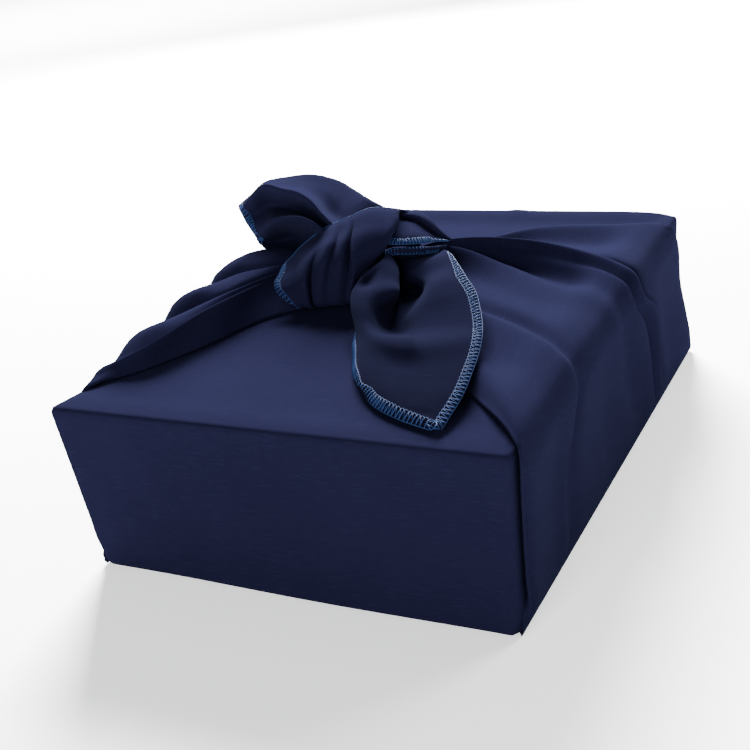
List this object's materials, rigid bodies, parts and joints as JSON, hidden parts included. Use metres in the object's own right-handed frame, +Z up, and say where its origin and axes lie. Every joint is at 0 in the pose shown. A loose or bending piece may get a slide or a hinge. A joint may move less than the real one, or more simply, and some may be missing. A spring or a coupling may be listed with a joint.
{
  "type": "furoshiki wrap on a box",
  "caption": "Square cloth wrapped round a long low box, gathered at its long sides and tied on top in a square knot with loose ends.",
  "frame": {"origin": "on the floor, under the middle of the box", "axes": "+Z up, +Y along the longer side of the box towards its back wall, +X towards the gathered end on the right"},
  "size_m": [0.3194, 0.3782, 0.1676],
  "materials": {
    "navy_cloth": "plain-woven, slightly silky, dark navy",
    "plain_board": "plain pale cardboard, matt"
  },
  "bodies": {
    "root": {"cloth": "navy_cloth", "box": "plain_board"}
  },
  "joints": []
}
